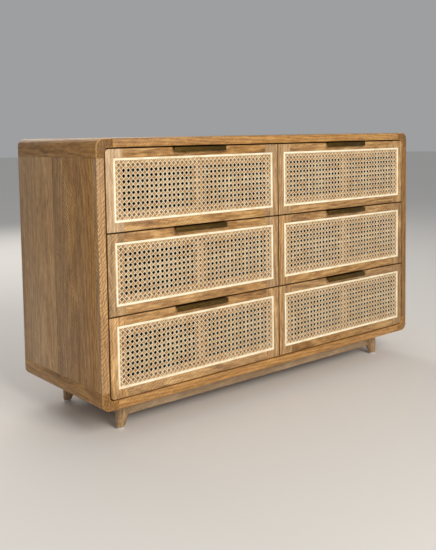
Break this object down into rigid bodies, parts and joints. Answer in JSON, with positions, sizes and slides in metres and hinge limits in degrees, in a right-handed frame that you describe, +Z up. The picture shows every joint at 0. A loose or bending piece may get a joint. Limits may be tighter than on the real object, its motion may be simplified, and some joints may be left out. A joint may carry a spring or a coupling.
{
  "type": "dresser with drawers",
  "caption": "Low dresser with two columns of cane-fronted drawers in a rounded hardwood carcass, on a recessed base frame with short turned legs.",
  "frame": {"origin": "on the floor under the middle of the whole object, pulls included", "axes": "+X to the right as seen from the front, +Y to the back, +Z up; the drawers open towards -Y"},
  "size_m": [1.38, 0.496, 0.862],
  "materials": {
    "carcass_wood": "satin natural hardwood, open grain",
    "front_wood": "satin natural hardwood, open grain",
    "base_wood": "satin natural hardwood",
    "inner_ply": "plain sealed plywood and pine",
    "box_wood": "sealed plain wood",
    "cane": "woven rattan cane, natural and dry",
    "bead": "ivory bead, smooth satin",
    "pull_metal": "aged brass, brushed and darkened",
    "glide_plastic": "pale grey moulded plastic"
  },
  "bodies": {
    "carcass": {"top_panel": "carcass_wood", "bottom_panel": "carcass_wood", "left_side": "carcass_wood", "right_side": "carcass_wood", "corner_block_top_left": "carcass_wood", "corner_block_top_right": "carcass_wood", "corner_block_bottom_left": "carcass_wood", "corner_block_bottom_right": "carcass_wood", "back_panel": "inner_ply", "center_divider": "inner_ply", "web_frame_lower_left": "inner_ply", "web_frame_upper_left": "inner_ply", "web_frame_lower_right": "inner_ply", "web_frame_upper_right": "inner_ply", "base_frame": "base_wood", "leg_front_left": "base_wood", "leg_front_right": "base_wood", "leg_rear_left": "base_wood", "leg_rear_right": "base_wood", "glide_front_left": "glide_plastic", "glide_front_right": "glide_plastic", "glide_rear_left": "glide_plastic", "glide_rear_right": "glide_plastic"},
    "drawer_top_left": {"top_left_front_frame": "front_wood", "top_left_cane_panel": "cane", "top_left_bead_trim": "bead", "top_left_edge_pull": "pull_metal", "top_left_drawer_box": "box_wood", "top_left_drawer_bottom": "box_wood"},
    "drawer_top_right": {"top_right_front_frame": "front_wood", "top_right_cane_panel": "cane", "top_right_bead_trim": "bead", "top_right_edge_pull": "pull_metal", "top_right_drawer_box": "box_wood", "top_right_drawer_bottom": "box_wood"},
    "drawer_middle_left": {"middle_left_front_frame": "front_wood", "middle_left_cane_panel": "cane", "middle_left_bead_trim": "bead", "middle_left_edge_pull": "pull_metal", "middle_left_drawer_box": "box_wood", "middle_left_drawer_bottom": "box_wood"},
    "drawer_middle_right": {"middle_right_front_frame": "front_wood", "middle_right_cane_panel": "cane", "middle_right_bead_trim": "bead", "middle_right_edge_pull": "pull_metal", "middle_right_drawer_box": "box_wood", "middle_right_drawer_bottom": "box_wood"},
    "drawer_bottom_left": {"bottom_left_front_frame": "front_wood", "bottom_left_cane_panel": "cane", "bottom_left_bead_trim": "bead", "bottom_left_edge_pull": "pull_metal", "bottom_left_drawer_box": "box_wood", "bottom_left_drawer_bottom": "box_wood"},
    "drawer_bottom_right": {"bottom_right_front_frame": "front_wood", "bottom_right_cane_panel": "cane", "bottom_right_bead_trim": "bead", "bottom_right_edge_pull": "pull_metal", "bottom_right_drawer_box": "box_wood", "bottom_right_drawer_bottom": "box_wood"}
  },
  "joints": [
    {"name": "top_left_drawer_slide", "type": "slide", "parent": "carcass", "child": "drawer_top_left", "axis": [0, -1, 0], "range_m": [0, 0.33]},
    {"name": "top_right_drawer_slide", "type": "slide", "parent": "carcass", "child": "drawer_top_right", "axis": [0, -1, 0], "range_m": [0, 0.33]},
    {"name": "middle_left_drawer_slide", "type": "slide", "parent": "carcass", "child": "drawer_middle_left", "axis": [0, -1, 0], "range_m": [0, 0.33]},
    {"name": "middle_right_drawer_slide", "type": "slide", "parent": "carcass", "child": "drawer_middle_right", "axis": [0, -1, 0], "range_m": [0, 0.33]},
    {"name": "bottom_left_drawer_slide", "type": "slide", "parent": "carcass", "child": "drawer_bottom_left", "axis": [0, -1, 0], "range_m": [0, 0.33]},
    {"name": "bottom_right_drawer_slide", "type": "slide", "parent": "carcass", "child": "drawer_bottom_right", "axis": [0, -1, 0], "range_m": [0, 0.33]}
  ]
}
